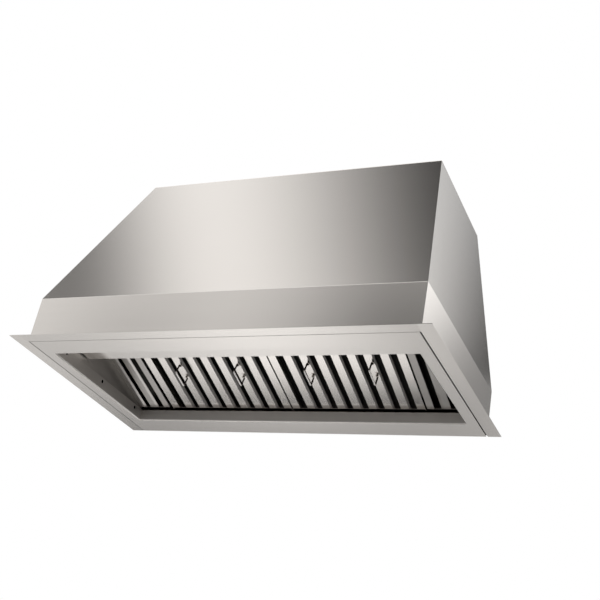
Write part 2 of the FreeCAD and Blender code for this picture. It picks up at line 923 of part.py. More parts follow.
def lamp_lenses():
    body = add_body("lamp_lenses")
    discs = add_sketch(body, "XY_Plane", s.front_rim_height)
    for hand in (-1, 1):
        circle(discs, hand * s.lamp_spread, controls_y, s.lamp_lens / 2 - s.seam_gap)
    pad(body, discs, s.lamp_bezel_drop - s.seam_gap * 4, "down")
    return body


def lamp_housings():
    """Closed lamp cans that stand on their bezels above the panel."""
    body = add_body("lamp_housings")
    cans = add_sketch(body, "XY_Plane", s.front_rim_height)
    for hand in (-1, 1):
        circle(cans, hand * s.lamp_spread, controls_y, s.lamp_bore / 2 - s.seam_gap)
    pad(body, cans, s.lamp_depth)
    caps = add_sketch(body, "XY_Plane", s.front_rim_height + s.lamp_depth)
    for hand in (-1, 1):
        circle(caps, hand * s.lamp_spread, controls_y, s.lamp_lens / 2)
    pad(body, caps, s.lamp_cap)
    return body


button_row = s.button_pitch * (s.button_count - 1) + s.button_width


def button_x(index):
    return s.button_pitch * (index - (s.button_count - 1) / 2)


def button_plate():
    """Plate under the panel with one window for each button."""
    body = add_body("button_plate")
    plate = add_sketch(body, "XY_Plane", s.front_rim_height)
    half_width = button_row / 2 + s.plate_margin
    half_depth = s.button_width / 2 + s.plate_margin
    rectangle(plate, -half_width, half_width, controls_y - half_depth, controls_y + half_depth)
    window = s.button_width / 2 + s.button_play
    for index in range(int(s.button_count.value)):
        centre = button_x(index)
        rectangle(plate, centre - window, centre + window,
                  controls_y - window, controls_y + window)
    pad(body, plate, s.plate_sheet, "down")
    return body


def push_button(index):
    """Square cap with a retaining flange above the plate and a stem in the switch block."""
    body = add_body(f"push_button_{index + 1}")
    half = s.button_width / 2
    cap = add_sketch(body, "XY_Plane", -(s.plate_sheet + s.button_stand))
    rectangle(cap, -half, half, -half, half)
    pad(body, cap, s.plate_sheet + s.button_stand + s.seam_gap * 2)
    flange = add_sketch(body, "XY_Plane", s.seam_gap * 2)
    rectangle(flange, -(half + s.button_flange), half + s.button_flange,
              -(half + s.button_flange), half + s.button_flange)
    pad(body, flange, s.button_flange)
    stem = add_sketch(body, "XY_Plane", s.seam_gap * 2)
    circle(stem, 0, 0, s.stem_radius)
    pad(body, stem, s.stem_length + s.button_flange)
    place(body, button_x(index), controls_y, s.front_rim_height)
    return body


def switch_block():
    """Block above the panel: a chamber for the flanges and a bore for each stem."""
    body = add_body("switch_block")
    base = s.front_rim_height + s.steel
    inner_width = button_row / 2 + s.button_flange + s.button_play
    inner_depth = s.button_width / 2 + s.button_flange + s.button_play
    block = add_sketch(body, "XY_Plane", base)
    rectangle(block, -(inner_width + s.switch_wall), inner_width + s.switch_wall,
              controls_y - inner_depth - s.switch_wall,
              controls_y + inner_depth + s.switch_wall)
    pad(body, block, s.switch_height)
    chamber = add_sketch(body, "XY_Plane", base)
    rectangle(chamber, -inner_width, inner_width,
              controls_y - inner_depth, controls_y + inner_depth)
    pocket(body, chamber, s.button_travel + s.button_flange + s.chamber_room, "up")
    bores = add_sketch(body, "XY_Plane", base)
    for index in range(int(s.button_count.value)):
        circle(bores, button_x(index), controls_y, s.stem_radius + s.stem_play)
    pocket(body, bores, s.stem_length + s.button_flange + s.button_travel + s.stem_room, "up")
    return body


def rear_shelf():
    """Shelf on the rear rim that carries the filters' feet, turned up at the back panel."""
    body = add_body("rear_shelf")
    rear = back_inner_y - s.seam_gap
    profile = add_sketch(body, "YZ_Plane")
    outline(profile, folded([
        (mouth_rear_y, rear_rim_height),
        (rear, rear_rim_height),
        (rear, shelf_top + s.shelf_lip),
    ], s.steel))
    pad(body, profile, mouth_x * 2 + s.steel * 2, "both")
    return body


# ---------------------------------------------------------------- blower

def add_feature(label, shape):
    """A sub-part whose shape is worked out here from the sheet's numbers."""
    item = doc.addObject("Part::Feature", label)
    item.Label = label
    item.Shape = shape
    nodes.append(item)
    return item


def quarter(centre, radius, number):
    """A quarter circle in the YZ plane, counter-clockwise; quarter 0 starts at +Y."""
    points = []
    for turn in (0.0, 0.5, 1.0):
        angle = math.pi / 2 * (number + turn)
        points.append(centre + V(0, radius * math.cos(angle), radius * math.sin(angle)))
    return Part.Arc(*points).toShape()


def scroll_edges(outward):
    """The scroll from its cut-off to the outlet, moved outward from the wheel by a distance."""
    step = s.scroll_step.value / 2
    base = s.scroll_base.value + outward
    lip = s.tongue_radius.value - outward
    top = roof_under.value - s.steel.value - blower_z.value
    centres = [V(0, -step, -step), V(0, step, -step), V(0, step, step)]
    tongue = centres[0] + V(0, 0, s.scroll_base.value + s.tongue_radius.value)
    lip_start = tongue + V(0, lip, 0)
    lip_middle = tongue + V(0, lip * math.sqrt(0.5), -lip * math.sqrt(0.5))
    lip_end = tongue + V(0, 0, -lip)
    outer_y = step + base + s.scroll_step.value * 2
    edges = [
        Part.LineSegment(V(0, lip_start.y, top), lip_start).toShape(),
        Part.Arc(lip_start, lip_middle, lip_end).toShape(),
    ]
    for index, centre in enumerate(centres):
        edges.append(quarter(centre, base + s.scroll_step.value * index, index + 1))
    edges.append(Part.LineSegment(V(0, outer_y, step), V(0, outer_y, top)).toShape())
    return edges


def closing_line(edges):
    """A straight edge from the end of a run of edges back to its start."""
    return Part.LineSegment(edges[-1].Vertexes[-1].Point, edges[0].Vertexes[0].Point).toShape()


def blower_scroll():
    """Spiral wrapper with its rounded cut-off and the straight outlet walls."""
    inner = scroll_edges(0.0)
    outer = scroll_edges(s.scroll_sheet.value)
    loop = inner + outer
    top_inner = [inner[0].Vertexes[0].Point, outer[0].Vertexes[0].Point]
    top_outer = [inner[-1].Vertexes[-1].Point, outer[-1].Vertexes[-1].Point]
    loop += [Part.LineSegment(*top_inner).toShape(), Part.LineSegment(*top_outer).toShape()]
    face = Part.Face(Part.Wire(Part.__sortEdges__(loop)))
    width = s.scroll_width.value
    face.translate(V(-width / 2, 0, 0))
    item = add_feature("blower_scroll", face.extrude(V(width, 0, 0)))
    place(item, 0, blower_y, blower_z)
    return item


def blower_cheek(label, hand):
    """Flat side of the blower with a round inlet and its inward lip."""
    edges = scroll_edges(s.scroll_sheet.value)
    face = Part.Face(Part.Wire(Part.__sortEdges__(edges + [closing_line(edges)])))
    thick = s.scroll_sheet.value
    start = hand * s.scroll_width.value / 2
    face.translate(V(start, 0, 0))
    plate = face.extrude(V(hand * thick, 0, 0))
    eye = s.inlet_radius.value
    reach = s.inlet_lip.value
    inward = V(-hand, 0, 0)
    outer_face = V(start + hand * thick, 0, 0)
    lip = Part.makeCylinder(eye + thick, reach + thick, outer_face, inward)
    hole = Part.makeCylinder(eye, reach + thick * 3, outer_face + V(hand * thick, 0, 0), inward)
    item = add_feature(label, plate.fuse(lip).cut(hole).removeSplitter())
    place(item, 0, blower_y, blower_z)
    return item


def tube(outer, inner, start, end):
    """A ring along X between two stations."""
    origin = V(start, 0, 0)
    axis = V(1, 0, 0)
    ring = Part.makeCylinder(outer, end - start, origin, axis)
    return ring.cut(Part.makeCylinder(inner, end - start, origin, axis))


def blade():
    """One forward-curved blade between the two end rings."""
    inner = s.wheel_eye.value + s.blade_sheet.value
    outer = s.wheel_radius.value - s.blade_sheet.value
    lead = math.radians(s.blade_lead_angle.value)
    sag = math.radians(s.blade_sag_angle.value)
    start = V(0, inner, 0)
    end = V(0, outer * math.cos(lead), outer * math.sin(lead))
    mean = (inner + outer) / 2
    middle = V(0, mean * math.cos(sag), mean * math.sin(sag))
    front_face = Part.Arc(start, middle, end).toShape()
    centre = front_face.Curve.Center
    radius = front_face.Curve.Radius
    grow = (radius + s.blade_sheet.value) / radius
    back = [centre + (point - centre) * grow for point in (start, middle, end)]
    section = Part.Wire([
        front_face,
        Part.LineSegment(end, back[2]).toShape(),
        Part.Arc(back[2], back[1], back[0]).toShape(),
        Part.LineSegment(back[0], start).toShape(),
    ])
    face = Part.Face(section)
    half = s.wheel_width.value / 2
    face.translate(V(-half, 0, 0))
    return face.extrude(V(half * 2, 0, 0))


def blower_wheel():
    """Double-inlet wheel: centre disc and hub, two end rings and the ring of blades."""
    half = s.wheel_width.value / 2
    ring = s.blade_sheet.value * 2
    radius = s.wheel_radius.value
    bore = s.shaft_diameter.value / 2
    disc = tube(radius, bore, -ring / 2, ring / 2)
    hub = tube(s.hub_radius.value, bore, -s.hub_length.value / 2, s.hub_length.value / 2)
    pieces = [hub]
    for start in (-half, half - ring):
        pieces.append(tube(radius, s.wheel_eye.value, start, start + ring))
    first = blade()
    count = int(s.blade_count.value)
    for index in range(count):
        turned = first.copy()
        turned.rotate(V(0, 0, 0), V(1, 0, 0), math.degrees(math.tau * index / count))
        pieces.append(turned)
    item = add_feature("blower_wheel", disc.multiFuse(pieces))
    place(item, 0, blower_y, blower_z)
    return item


def motor_start():
    """Station of the motor's inner end along the shaft."""
    return -(s.hub_length.value / 2 + s.motor_gap.value)


def motor_shaft():
    end = motor_start() - s.shaft_seat.value
    shaft = Part.makeCylinder(s.shaft_diameter.value / 2, s.hub_length.value / 2 - end,
                              V(end, 0, 0), V(1, 0, 0))
    item = add_feature("motor_shaft", shaft)
    place(item, 0, blower_y, blower_z)
    return item


def motor():
    """Turned motor can with stepped end bells and the bore for its shaft."""
    start = motor_start()
    length = s.motor_length.value
    radius = s.motor_radius.value
    bell_length = s.bell_length.value
    axis = V(-1, 0, 0)
    near = start - bell_length
    far = start - length + bell_length
    can = Part.makeCylinder(radius, near - far, V(near, 0, 0), axis)
    for station, direction in ((near, 1), (far, -1)):
        bell = Part.makeCone(radius, s.bell_radius.value, bell_length,
                             V(station, 0, 0), V(direction, 0, 0))
        can = can.fuse(bell)
    bore = s.shaft_diameter.value / 2 + s.shaft_play.value
    depth = s.shaft_seat.value + s.overcut.value
    can = can.cut(Part.makeCylinder(bore, depth, V(start, 0, 0), axis))
    item = add_feature("motor", can.removeSplitter())
    place(item, 0, blower_y, blower_z)
    return item


def motor_bracket():
    """Ring round the motor with three arms that lie on the blower's left cheek."""
    outer_face = -(s.scroll_width.value / 2 + s.scroll_sheet.value)
    thick = s.arm_sheet.value
    reach = s.inlet_radius.value + s.arm_width.value
    width = s.arm_width.value
    start = outer_face - thick
    root = s.motor_radius.value + s.arm_sheet.value
    bracket = tube(s.motor_radius.value + width / 2, s.motor_radius.value, start, outer_face)
    count = int(s.arm_count.value)
    for index in range(count):
        arm = Part.makeBox(thick, reach - root, width, V(start, root, -width / 2))
        arm.rotate(V(0, 0, 0), V(1, 0, 0), math.degrees(math.pi / 2 + math.tau * index / count))
        bracket = bracket.fuse(arm)
    item = add_feature("motor_bracket", bracket.removeSplitter())
    place(item, 0, blower_y, blower_z)
    return item


def outlet_plate():
    """Plate under the roof from which the blower hangs, with the round duct hole."""
    body = add_body("outlet_plate")
    plate = add_sketch(body, "XY_Plane", roof_under - s.steel)
    half_width = s.scroll_width / 2 + s.outlet_flange
    near = blower_y - s.scroll_step / 2 + s.tongue_radius - s.outlet_flange
    far = blower_y + s.scroll_base + s.scroll_step * 2.5 + s.outlet_flange
    rectangle(plate, -half_width, half_width, near, far)
    circle(plate, 0, collar_y, s.collar_radius - s.collar_sheet - s.bead_width)
    pad(body, plate, s.steel)
    return body


# ---------------------------------------------------------------- duct collar and damper

def duct_collar():
    """Round spigot on the roof with a base flange and an inner bead that the flaps rest on."""
    body = add_body("duct_collar")
    bore = s.collar_radius - s.collar_sheet
    half = add_sketch(body, "XZ_Plane")
    bead_top = s.damper_height - s.damper_sheet / 2 - s.seat_gap
    outline(half, [
        (bore, 0),
        (s.collar_radius + s.collar_flange, 0),
        (s.collar_radius + s.collar_flange, s.steel),
        (s.collar_radius, s.steel),
        (s.collar_radius, s.collar_height),
        (bore, s.collar_height),
        (bore, bead_top),
        (bore - s.bead_width, bead_top),
        (bore - s.bead_width, bead_top - s.bead_height),
        (bore, bead_top - s.bead_height),
    ])
    revolve(body, half)
    notch = add_sketch(body, "YZ_Plane")
    rectangle(notch, -s.flap_root, s.flap_root, bead_top - s.bead_height - s.seat_gap,
              bead_top + s.seat_gap)
    pocket(body, notch, bore * 2 - s.seat_gap)
    holes = add_sketch(body, "YZ_Plane")
    circle(holes, 0, s.damper_height, s.rod_radius)
    pocket(body, holes, (s.collar_radius + s.overcut) * 2)
    place(body, 0, collar_y, s.body_height)
    return body


def damper_rod():
    """Hinge rod across the collar, its ends flush in the wall."""
    body = add_body("damper_rod")
    section = add_sketch(body, "YZ_Plane")
    circle(section, 0, s.damper_height, s.rod_radius)
    pad(body, section, s.collar_radius * 2 - s.collar_sheet, "both")
    place(body, 0, collar_y, s.body_height)
    return body


def damper_flap(label, hand, knuckle_centre):
    """Half-round flap with two rolled knuckles on the rod."""
    radius = s.collar_radius.value - s.collar_sheet.value - s.damper_play.value
    thick = s.damper_sheet.value
    bore = s.rod_radius.value + s.rod_play.value
    outer = bore + s.knuckle_wall.value
    gap = s.flap_root.value
    disc = Part.makeCylinder(radius, thick, V(0, 0, -thick / 2))
    keep = Part.makeBox(radius * 2, radius, thick,
                        V(-radius, gap if hand > 0 else -gap - radius, -thick / 2))
    flap = disc.common(keep)
    for side in (-1, 1):
        start = side * knuckle_centre - s.knuckle_length.value / 2
        flap = flap.fuse(tube(outer, bore, start, start + s.knuckle_length.value))
        near = bore + s.knuckle_wall.value / 2
        tongue = Part.makeBox(s.knuckle_length.value, gap - near + thick, thick,
                              V(start, near if hand > 0 else -gap - thick, -thick / 2))
        flap = flap.fuse(tongue)
    item = add_feature(label, flap.removeSplitter())
    place(item, 0, collar_y, s.body_height + s.damper_height)
    return item


# ---------------------------------------------------------------- wiring box and fasteners

def wiring_box():
    """Open-bottomed box under the roof where the supply cable is joined."""
    body = add_body("wiring_box")
    outer = add_sketch(body, "XY_Plane", roof_under)
    rectangle(outer, -s.box_width / 2, s.box_width / 2, -s.box_depth / 2, s.box_depth / 2)
    pad(body, outer, s.box_height, "down")
    inner = add_sketch(body, "XY_Plane", roof_under - s.box_height)
    rectangle(inner, s.steel - s.box_width / 2, s.box_width / 2 - s.steel,
              s.steel - s.box_depth / 2, s.box_depth / 2 - s.steel)
    pocket(body, inner, s.box_height - s.steel, "up")
    hole = add_sketch(body, "XY_Plane", roof_under)
    circle(hole, 0, 0, s.gland_bore + s.gland_wall)
    pocket(body, hole, s.steel * 4)
    place(body, box_x, box_y, 0)
    return body


def wiring_cover():
    """Lid that closes the wiring box from below, with its two end tabs."""
    body = add_body("wiring_cover")
    lid = add_sketch(body, "XY_Plane", roof_under - s.box_height)
    rectangle(lid, -s.box_width / 2, s.box_width / 2, -s.box_depth / 2, s.box_depth / 2)
    pad(body, lid, s.steel, "down")
    tabs = add_sketch(body, "XY_Plane", roof_under - s.box_height - s.steel)
    for hand in (-1, 1):
        edge = hand * s.box_width / 2
        rectangle(tabs, edge, edge + hand * s.steel, -s.tab_width / 2, s.tab_width / 2)
    pad(body, tabs, s.tab_height)
    place(body, box_x, box_y, 0)
    return body


def cable_gland():
    """Gland through the roof and the box: hexagon, domed cap, sleeve and lock nut."""
    outer = s.gland_radius.value
    bore = s.gland_bore.value
    sleeve = bore + s.gland_wall.value
    stand = s.gland_stand.value
    nut = s.gland_nut.value
    under = -(s.steel.value * 2)
    flats = [math.pi / 3 * corner for corner in range(6)]
    ring = [V(outer * math.cos(angle), outer * math.sin(angle), 0) for angle in flats]
    hexagon = Part.Face(Part.makePolygon(ring + ring[:1]))
    gland = hexagon.extrude(V(0, 0, stand / 2))
    cap = Part.makeCone(outer * math.cos(math.pi / 6), bore + s.gland_lip.value, stand / 2,
                        V(0, 0, stand / 2))
    gland = gland.fuse(cap)
    gland = gland.fuse(Part.makeCylinder(sleeve, stand - under, V(0, 0, under - stand / 2)))
    gland = gland.fuse(Part.makeCylinder(outer, nut, V(0, 0, under - nut)))
    gland = gland.cut(Part.makeCylinder(bore, stand * 4, V(0, 0, -stand * 2)))
    item = add_feature("cable_gland", gland.removeSplitter())
    place(item, box_x, box_y, s.body_height)
    return item


def screw_heads(label, positions, normal):
    """Low domed heads on a flat sheet, one solid for each position."""
    radius = s.screw_head.value / 2
    rise = s.screw_dome.value
    sphere = (radius ** 2 + rise ** 2) / (2 * rise)
    half_angle = math.asin(radius / sphere) / 2
    shoulder = V(sphere * math.sin(half_angle), 0, sphere * math.cos(half_angle) - sphere + rise)
    profile = Part.Wire([
        Part.LineSegment(V(0, 0, 0), V(radius, 0, 0)).toShape(),
        Part.Arc(V(radius, 0, 0), shoulder, V(0, 0, rise)).toShape(),
        Part.LineSegment(V(0, 0, rise), V(0, 0, 0)).toShape(),
    ])
    head = Part.Face(profile).revolve(V(0, 0, 0), V(0, 0, 1))
    upright = FreeCAD.Rotation(V(0, 0, 1), normal)
    heads = []
    for position in positions:
        placed = head.copy()
        placed.Placement = FreeCAD.Placement(position, upright)
        heads.append(placed)
    return add_feature(label, Part.makeCompound(heads))


def back_screws():
    """Heads along the two sides and the top edge of the back panel."""
    inset = s.screw_inset.value
    positions = []
    for hand in (-1, 1):
        for share in (0.25, 0.75):
            z = s.band_height.value * share
            positions.append(V(hand * (wall_x.value - inset), back_y.value, z))
            z = s.band_height.value + wall_rise.value * share
            edge = wall_x.value - side_lean.value * wall_rise.value * share
            positions.append(V(hand * (edge - inset), back_y.value, z))
    return screw_heads("back_screws", positions, V(0, 1, 0))


def collar_screws():
    """Heads that hold the collar's flange to the roof."""
    radius = s.collar_radius.value + s.collar_flange.value / 2
    top = s.body_height.value + s.steel.value
    positions = []
    count = int(s.collar_screw_count.value)
    for index in range(count):
        angle = math.tau * index / count
        positions.append(V(radius * math.cos(angle),
                           collar_y.value + radius * math.sin(angle), top))
    return screw_heads("collar_screws", positions, V(0, 0, 1))


# ---------------------------------------------------------------- build, check and write

def build():
    front_panel()
    side_panel("side_panel_left", -1)
    side_panel("side_panel_right", 1)
    back_panel()
    top_panel()
    mouth_ring()
    liner("liner_left", -1)
    liner("liner_right", 1)
    light_panel()
    lamp_bezels()
    lamp_lenses()
    lamp_housings()
    button_plate()
    for index in range(int(s.button_count.value)):
        push_button(index)
    switch_block()
    rear_shelf()
    sides = (("left", -1, s.infill_gap_left), ("right", 1, s.infill_gap_right))
    for name, hand, gap in sides:
        x = hand * filter_x
        filter_frame(f"filter_frame_{name}", x)
        lower_slats(f"lower_slats_{name}", x)
        upper_slats(f"upper_slats_{name}", x)
        bail_clips(f"bail_clips_{name}", x)
        bail(f"bail_{name}_outer", x, hand)
        bail(f"bail_{name}_inner", x, -hand)
        infill(f"infill_{name}", hand, gap)
    blower_scroll()
    blower_cheek("blower_cheek_left", -1)
    blower_cheek("blower_cheek_right", 1)
    blower_wheel()
    motor_shaft()
    motor()
    motor_bracket()
    outlet_plate()
    duct_collar()
    damper_rod()
    inner = s.knuckle_inner.value
    damper_flap("damper_flap_front", -1, inner)
    damper_flap("damper_flap_rear", 1, inner + s.knuckle_length.value + s.knuckle_gap.value)
    wiring_box()
    wiring_cover()
    cable_gland()
    back_screws()
    collar_screws()


def check():
    """Stop before writing if any object failed or any cut removed nothing."""
    for item in doc.Objects:
        if "Invalid" in item.State or "Error" in item.State:
            raise RuntimeError(f"{item.Label} failed: {item.State}")
        if item.TypeId in ("PartDesign::Pocket", "PartDesign::Groove"):
            if item.Shape.Volume > item.BaseFeature.Shape.Volume - 0.01:
                raise RuntimeError(f"{item.Label} cuts nothing")
    for node in nodes:
        if node.Shape.isNull() or not node.Shape.isValid():
            raise RuntimeError(f"{node.Label} has no valid shape")


build()
doc.recompute()
check()
os.makedirs("parts", exist_ok=True)
for node in nodes:
    node.Shape.exportStep(os.path.join("parts", f"{node.Label}.step"))
    print(node.Label, len(node.Shape.Solids))
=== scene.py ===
"""Looks of the range hood insert: brushed steel, baffle filters and a plain studio.

Lengths are metres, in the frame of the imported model: X across the hood, Y from the front to the
wall, Z up, with the underside of the flange at Z = 0.
"""

import json
from typing import NamedTuple

import bpy
from mathutils import Matrix, Vector

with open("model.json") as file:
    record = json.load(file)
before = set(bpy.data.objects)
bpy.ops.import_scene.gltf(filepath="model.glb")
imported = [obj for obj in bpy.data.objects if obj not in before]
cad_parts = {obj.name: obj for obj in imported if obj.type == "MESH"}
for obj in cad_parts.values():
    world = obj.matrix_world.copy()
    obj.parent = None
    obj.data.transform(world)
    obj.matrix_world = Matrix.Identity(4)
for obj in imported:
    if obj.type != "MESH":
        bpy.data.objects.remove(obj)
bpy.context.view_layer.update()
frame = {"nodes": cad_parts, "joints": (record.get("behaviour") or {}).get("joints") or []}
nodes = frame["nodes"]
scene = bpy.context.scene

BAIL_AXIS = Vector(next(joint["axis"] for joint in frame["joints"] if "bail" in joint["name"]))
FILTER_UP = Vector((1.0, 0.0, 0.0)).cross(BAIL_AXIS).normalized()
AXES = ("x", "y", "z")

# ---------------------------------------------------------------- camera

# Fitted to the hood's outline in the photograph.
CAMERA_PLACE = Vector((1.0072, -1.7761, -0.8209))
CAMERA_FORWARD = Vector((-0.4189, 0.7866, 0.4537))
CAMERA_UP = Vector((0.0365, -0.4847, 0.8739))
SENSOR_WIDTH = 36.0
IMAGE_SIZE = 600
FOCAL_PIXELS = 1052.0


def add_camera():
    """The photograph's viewpoint: below the front, to the right of the hood."""
    data = bpy.data.cameras.new("camera")
    data.sensor_width = SENSOR_WIDTH
    data.lens = FOCAL_PIXELS * SENSOR_WIDTH / IMAGE_SIZE
    camera = bpy.data.objects.new("camera", data)
    scene.collection.objects.link(camera)
    backward = -CAMERA_FORWARD.normalized()
    right = CAMERA_UP.cross(backward).normalized()
    up = backward.cross(right)
    turn = Matrix((right, up, backward)).transposed()
    camera.matrix_world = Matrix.Translation(CAMERA_PLACE) @ turn.to_4x4()
    scene.camera = camera


# ---------------------------------------------------------------- node helpers

class Graph:
    """A small helper that adds and joins shader nodes."""

    def __init__(self, tree):
        self.tree = tree
        tree.nodes.clear()

    def add(self, kind, **settings):
        """A new node with some of its settings."""
        node = self.tree.nodes.new(kind)
        for name, value in settings.items():
            setattr(node, name, value)
        return node

    def join(self, source, target):
        """A link from one socket to another."""
        self.tree.links.new(source, target)

    def place(self):
        """The point's place in the part's own metres."""
        return self.add("ShaderNodeTexCoord").outputs["Object"]

    def facing(self):
        """The direction that the surface faces."""
        return self.add("ShaderNodeNewGeometry").outputs["Normal"]

    def along(self, vector, axis):
        """One component of a vector."""
        split = self.add("ShaderNodeSeparateXYZ")
        self.join(vector, split.inputs[0])
        return split.outputs[AXES.index(axis)]

    def size_along(self, vector, axis):
        """One component of a vector, without its sign."""
        size = self.add("ShaderNodeMath", operation="ABSOLUTE")
        self.join(self.along(vector, axis), size.inputs[0])
        return size.outputs[0]

    def noise(self, scale, detail, roughness=0.5):
        """Noise in the part's own metres; its scale is one frequency, or one for each axis."""
        stretch = self.add("ShaderNodeVectorMath", operation="MULTIPLY")
        stretch.inputs[1].default_value = scale if isinstance(scale, tuple) else (scale,) * 3
        noise = self.add("ShaderNodeTexNoise")
        noise.inputs["Scale"].default_value = 1.0
        noise.inputs["Detail"].default_value = detail
        noise.inputs["Roughness"].default_value = roughness
        self.join(self.place(), stretch.inputs[0])
        self.join(stretch.outputs[0], noise.inputs["Vector"])
        return noise.outputs["Fac"]

    def ranged(self, source, low, high, start=0.0, end=1.0):
        """A value carried from one range to another."""
        node = self.add("ShaderNodeMapRange")
        node.inputs["From Min"].default_value = start
        node.inputs["From Max"].default_value = end
        node.inputs["To Min"].default_value = low
        node.inputs["To Max"].default_value = high
        self.join(source, node.inputs["Value"])
        return node.outputs["Result"]

    def spread(self, source, middle, share, start=0.0, end=1.0):
        """A value carried to a range that lies a share below and above its middle."""
        return self.ranged(source, middle * (1.0 - share), middle * (1.0 + share), start, end)

    def mixed_colour(self, factor, first, second):
        """A colour between the first, a colour or a socket, and the second."""
        node = self.add("ShaderNodeMix", data_type="RGBA")
        if isinstance(first, tuple):
            node.inputs["A"].default_value = (*first, 1.0)
        else:
            self.join(first, node.inputs["A"])
        node.inputs["B"].default_value = (*second, 1.0)
        self.join(factor, node.inputs["Factor"])
        return node.outputs["Result"]

    def mottled(self, factor, colour, contrast):
        """A colour that a factor makes darker or lighter by a share."""
        return self.mixed_colour(
            factor, shaded(colour, 1.0 - contrast), shaded(colour, 1.0 + contrast))

    def dot(self, first, second):
        """How far two directions agree; the second is a vector or a socket."""
        product = self.add("ShaderNodeVectorMath", operation="DOT_PRODUCT")
        self.join(first, product.inputs[0])
        if isinstance(second, Vector):
            product.inputs[1].default_value = second
        else:
            self.join(second, product.inputs[1])
        return product.outputs["Value"]

    def depth_above(self, node_name, start, end):
        """0 near the node's face towards the cooktop, 1 from a given depth inside it."""
        lowest = min(FILTER_UP.dot(vertex.co) for vertex in nodes[node_name].data.vertices)
        height = self.dot(self.place(), FILTER_UP)
        return self.ranged(height, 0.0, 1.0, lowest + start, lowest + end)


def shaded(colour, factor):
    """A colour made darker or lighter."""
    return tuple(channel * factor for channel in colour)


def new_material(name):
    """An empty material with its graph and its surface node."""
    material = bpy.data.materials.new(name)
    material.use_nodes = True
    graph = Graph(material.node_tree)
    surface = graph.add("ShaderNodeBsdfPrincipled")
    output = graph.add("ShaderNodeOutputMaterial")
    graph.join(surface.outputs["BSDF"], output.inputs["Surface"])
    return material, graph, surface


# ---------------------------------------------------------------- brushed steel

STEEL = (0.680, 0.645, 0.610)
WALL_PAINTED_SHADE_STEEL = (0.62, 0.59, 0.57)
RIM_PAINTED_SHADE_STEEL = (0.56, 0.535, 0.51)
# Near black, painted where the steel lies in shade: painted shade.
PAINTED_SHADE_STEEL = (0.04, 0.038, 0.036)
INFILL_PAINTED_SHADE = 0.65
RIM_ROUGHNESS = 0.5
WALL_METALLIC = 0.2

GRAIN_LENGTH = 0.5
GRAIN_WIDTH = 0.004
GRAIN_DETAIL = 3.0
GRAIN_HARSHNESS = 0.55
GRAIN_RANGE = (0.3, 0.7)
GRAIN_SHARE = 0.7
ROUGHNESS_SPREAD = 0.03
CLOUD_FREQUENCY = 7.0
CLOUD_DETAIL = 2.0

FOLD_HEIGHT = 0.10
ROOF_HEIGHT = 0.50
# Share of painted shade on the sides towards the roof.
SIDE_ROOF_SHADE = 0.4
LINER_FRONT = -0.2
LINER_REAR = 0.32
INWARD_RANGE = (-0.02, -0.01)
RIM_TILT_RANGE = (0.3, 0.8)
SLAT_WALL_DEPTH = (0.0009, 0.0013)
INFILL_DARK_DEPTH = (0.0022, 0.0045)


class Brushing(NamedTuple):
    """How a sheet is brushed: roughness, stretch of its highlights and contrast of its grain."""

    roughness: float
    anisotropy: float
    contrast: float


SHEET_BRUSHING = Brushing(0.19, 0.65, 0.03)
SLAT_BRUSHING = Brushing(0.2, 0.5, 0.05)
INFILL_BRUSHING = Brushing(0.34, 0.4, 0.03)
LINER_BRUSHING = Brushing(0.38, 0.4, 0.03)
HOOD_BRUSHING = Brushing(0.5, 0.65, 0.03)


def grain_scale(axis):
    """Noise frequency in cycles a metre: low along the grain, high across it."""
    return tuple(1.0 / (GRAIN_LENGTH if name == axis else GRAIN_WIDTH) for name in AXES)


def across_grain(graph, axis):
    """The direction in each face that crosses the grain, also on the sheet's bent-up edges."""
    first = "y" if axis == "x" else "x"
    size = graph.size_along(graph.facing(), first)
    rest = graph.add("ShaderNodeMath", operation="SUBTRACT")
    rest.inputs[0].default_value = 1.0
    graph.join(size, rest.inputs[1])
    across = graph.add("ShaderNodeCombineXYZ")
    graph.join(rest.outputs[0], across.inputs[AXES.index(first)])
    graph.join(size, across.inputs[AXES.index("z")])
    return across.outputs[0]


def brush(graph, surface, axis, colour, brushing):
    """Brush a surface along one axis, with faint cloudy wear, and return its colour."""
    grain = graph.noise(grain_scale(axis), GRAIN_DETAIL, GRAIN_HARSHNESS)
    cloud = graph.noise(CLOUD_FREQUENCY, CLOUD_DETAIL)
    tone = graph.add("ShaderNodeMath", operation="MULTIPLY_ADD")
    tone.inputs[1].default_value = GRAIN_SHARE
    graph.join(grain, tone.inputs[0])
    graph.join(graph.ranged(cloud, 0.0, 1.0 - GRAIN_SHARE), tone.inputs[2])
    graph.join(graph.spread(grain, brushing.roughness, ROUGHNESS_SPREAD, *GRAIN_RANGE),
               surface.inputs["Roughness"])
    surface.inputs["Metallic"].default_value = 1.0
    surface.inputs["Anisotropic"].default_value = brushing.anisotropy
    graph.join(across_grain(graph, axis), surface.inputs["Tangent"])
    return graph.mottled(tone.outputs[0], colour, brushing.contrast)


def brushed_steel(name, axis, colour=STEEL, brushing=SHEET_BRUSHING):
    """Stainless steel brushed along one axis."""
    material, graph, surface = new_material(name)
    shade = brush(graph, surface, axis, colour, brushing)
    graph.join(shade, surface.inputs["Base Color"])
    return material


